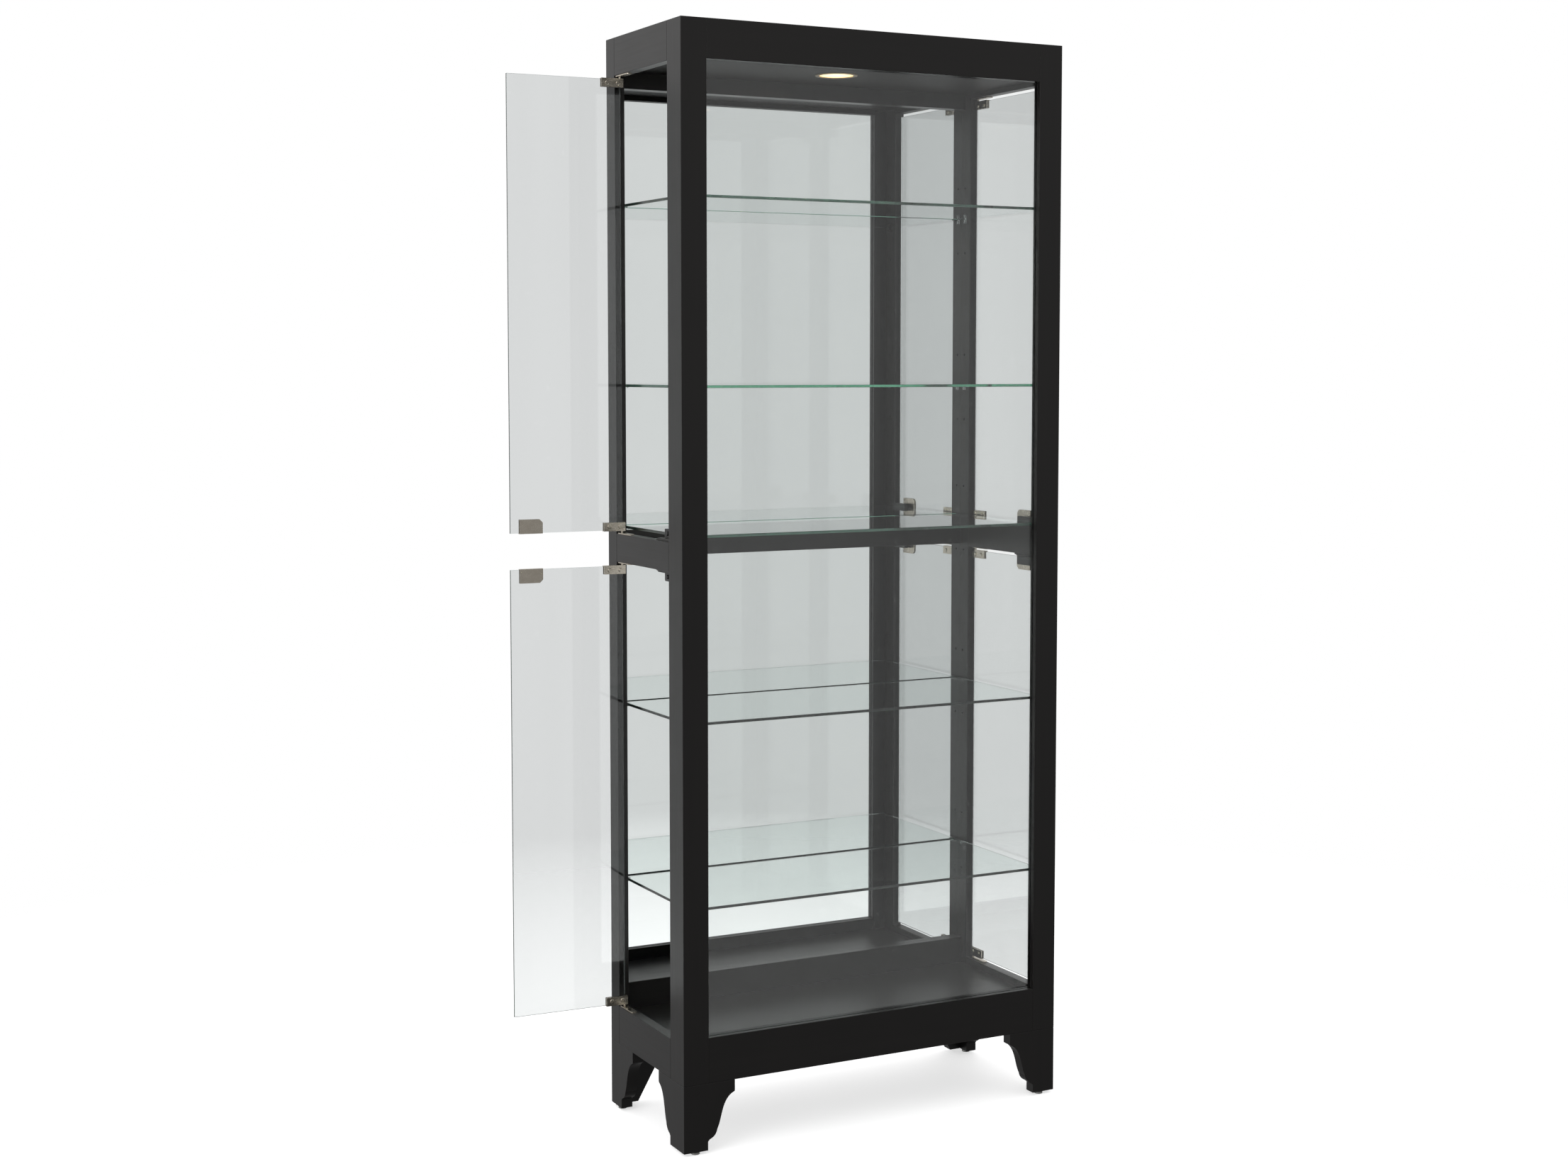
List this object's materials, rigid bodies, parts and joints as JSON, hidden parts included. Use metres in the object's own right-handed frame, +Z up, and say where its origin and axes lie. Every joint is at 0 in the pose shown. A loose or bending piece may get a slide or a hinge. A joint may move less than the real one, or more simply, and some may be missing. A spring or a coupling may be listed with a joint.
{
  "type": "display cabinet",
  "caption": "Tall free-standing lighted display cabinet: black wood frame, mirrored back, fixed glass front, hinged glass side doors, glass shelves and bracket legs.",
  "frame": {"origin": "on the floor, under the middle of the case (the feet stand at z = 0)", "axes": "+X to the right seen from the front, -Y towards the front, +Z up"},
  "size_m": [0.9904, 0.328, 1.989],
  "materials": {
    "black_wood": "satin black lacquer over fine close grain",
    "mirror": "silvered glass",
    "hardboard": "plain brown board",
    "door_glass": "clear, polished edges",
    "front_glass": "clear",
    "shelf_glass": "clear, polished green edges",
    "clear_plastic": "clear moulded plastic",
    "nickel": "warm satin nickel plate",
    "black_plastic": "moulded black",
    "foot_steel": "zinc plated",
    "bolt_steel": "zinc plated",
    "lamp_metal": "satin spun metal",
    "lamp_lens": "frosted, lit warm white",
    "bush_plastic": "black"
  },
  "bodies": {
    "root": {"back_boards": "hardboard", "catch_bodies": "black_plastic", "ceiling_panel": "black_wood", "cord_bush": "bush_plastic", "deck_panel": "black_wood", "front_glass": "front_glass", "glass_stops": "black_wood", "hinge_tabs": "nickel", "lamp_housing": "lamp_metal", "lamp_lens": "lamp_lens", "latch_blocks": "black_wood", "leg_back_left": "black_wood", "leg_back_right": "black_wood", "leg_bolts": "bolt_steel", "leg_front_left": "black_wood", "leg_front_right": "black_wood", "mirror_lower": "mirror", "mirror_upper": "mirror", "post_back_left": "black_wood", "post_back_right": "black_wood", "post_front_left": "black_wood", "post_front_right": "black_wood", "rail_back_bottom": "black_wood", "rail_back_middle": "black_wood", "rail_back_top": "black_wood", "rail_front_bottom": "black_wood", "rail_front_top": "black_wood", "rail_left_bottom": "black_wood", "rail_left_middle": "black_wood", "rail_left_top": "black_wood", "rail_right_bottom": "black_wood", "rail_right_middle": "black_wood", "rail_right_top": "black_wood", "shelf_clips": "clear_plastic", "top_panel": "black_wood"},
    "door_left_upper": {"door_glass_left_upper": "door_glass", "hinge_clips_left_upper": "nickel", "strike_left_upper": "nickel"},
    "catch_left_upper": {"plunger_left_upper": "black_plastic"},
    "door_left_lower": {"door_glass_left_lower": "door_glass", "hinge_clips_left_lower": "nickel", "strike_left_lower": "nickel"},
    "catch_left_lower": {"plunger_left_lower": "black_plastic"},
    "door_right_upper": {"door_glass_right_upper": "door_glass", "hinge_clips_right_upper": "nickel", "strike_right_upper": "nickel"},
    "catch_right_upper": {"plunger_right_upper": "black_plastic"},
    "door_right_lower": {"door_glass_right_lower": "door_glass", "hinge_clips_right_lower": "nickel", "strike_right_lower": "nickel"},
    "catch_right_lower": {"plunger_right_lower": "black_plastic"},
    "foot_front_left": {"leveller_front_left": "foot_steel"},
    "foot_front_right": {"leveller_front_right": "foot_steel"},
    "foot_back_left": {"leveller_back_left": "foot_steel"},
    "foot_back_right": {"leveller_back_right": "foot_steel"},
    "glass_shelf_1": {"shelf_1": "shelf_glass"},
    "glass_shelf_2": {"shelf_2": "shelf_glass"},
    "glass_shelf_3": {"shelf_3": "shelf_glass"},
    "glass_shelf_4": {"shelf_4": "shelf_glass"},
    "glass_shelf_5": {"shelf_5": "shelf_glass"}
  },
  "joints": [
    {"name": "door_left_upper_hinge", "type": "hinge", "parent": "root", "child": "door_left_upper", "pos_m": [-0.3835, 0.117, 1.5], "axis": [0, 0, -1], "range_deg": [-92, 18]},
    {"name": "door_left_lower_hinge", "type": "hinge", "parent": "root", "child": "door_left_lower", "pos_m": [-0.3835, 0.117, 0.6], "axis": [0, 0, -1], "range_deg": [-92, 18]},
    {"name": "door_right_upper_hinge", "type": "hinge", "parent": "root", "child": "door_right_upper", "pos_m": [0.3835, 0.117, 1.5], "axis": [0, 0, 1], "range_deg": [0, 110]},
    {"name": "door_right_lower_hinge", "type": "hinge", "parent": "root", "child": "door_right_lower", "pos_m": [0.3835, 0.117, 0.6], "axis": [0, 0, 1], "range_deg": [0, 110]},
    {"name": "catch_left_upper_press", "type": "slide", "parent": "root", "child": "catch_left_upper", "axis": [1, 0, 0], "range_m": [0, 0.003], "stiffness_N_per_m": 200},
    {"name": "catch_left_lower_press", "type": "slide", "parent": "root", "child": "catch_left_lower", "axis": [1, 0, 0], "range_m": [0, 0.003], "stiffness_N_per_m": 200},
    {"name": "catch_right_upper_press", "type": "slide", "parent": "root", "child": "catch_right_upper", "axis": [-1, 0, 0], "range_m": [0, 0.003], "stiffness_N_per_m": 200},
    {"name": "catch_right_lower_press", "type": "slide", "parent": "root", "child": "catch_right_lower", "axis": [-1, 0, 0], "range_m": [0, 0.003], "stiffness_N_per_m": 200},
    {"name": "foot_front_left_screw", "type": "slide", "parent": "root", "child": "foot_front_left", "axis": [0, 0, 1], "range_m": [-0.008, 0]},
    {"name": "foot_front_right_screw", "type": "slide", "parent": "root", "child": "foot_front_right", "axis": [0, 0, 1], "range_m": [-0.008, 0]},
    {"name": "foot_back_left_screw", "type": "slide", "parent": "root", "child": "foot_back_left", "axis": [0, 0, 1], "range_m": [-0.008, 0]},
    {"name": "foot_back_right_screw", "type": "slide", "parent": "root", "child": "foot_back_right", "axis": [0, 0, 1], "range_m": [-0.008, 0]},
    {"name": "shelf_1_lift", "type": "slide", "parent": "root", "child": "glass_shelf_1", "axis": [0, 0, 1], "range_m": [0, 0.03]},
    {"name": "shelf_2_lift", "type": "slide", "parent": "root", "child": "glass_shelf_2", "axis": [0, 0, 1], "range_m": [0, 0.03]},
    {"name": "shelf_3_lift", "type": "slide", "parent": "root", "child": "glass_shelf_3", "axis": [0, 0, 1], "range_m": [0, 0.03]},
    {"name": "shelf_4_lift", "type": "slide", "parent": "root", "child": "glass_shelf_4", "axis": [0, 0, 1], "range_m": [0, 0.03]},
    {"name": "shelf_5_lift", "type": "slide", "parent": "root", "child": "glass_shelf_5", "axis": [0, 0, 1], "range_m": [0, 0.03]}
  ]
}
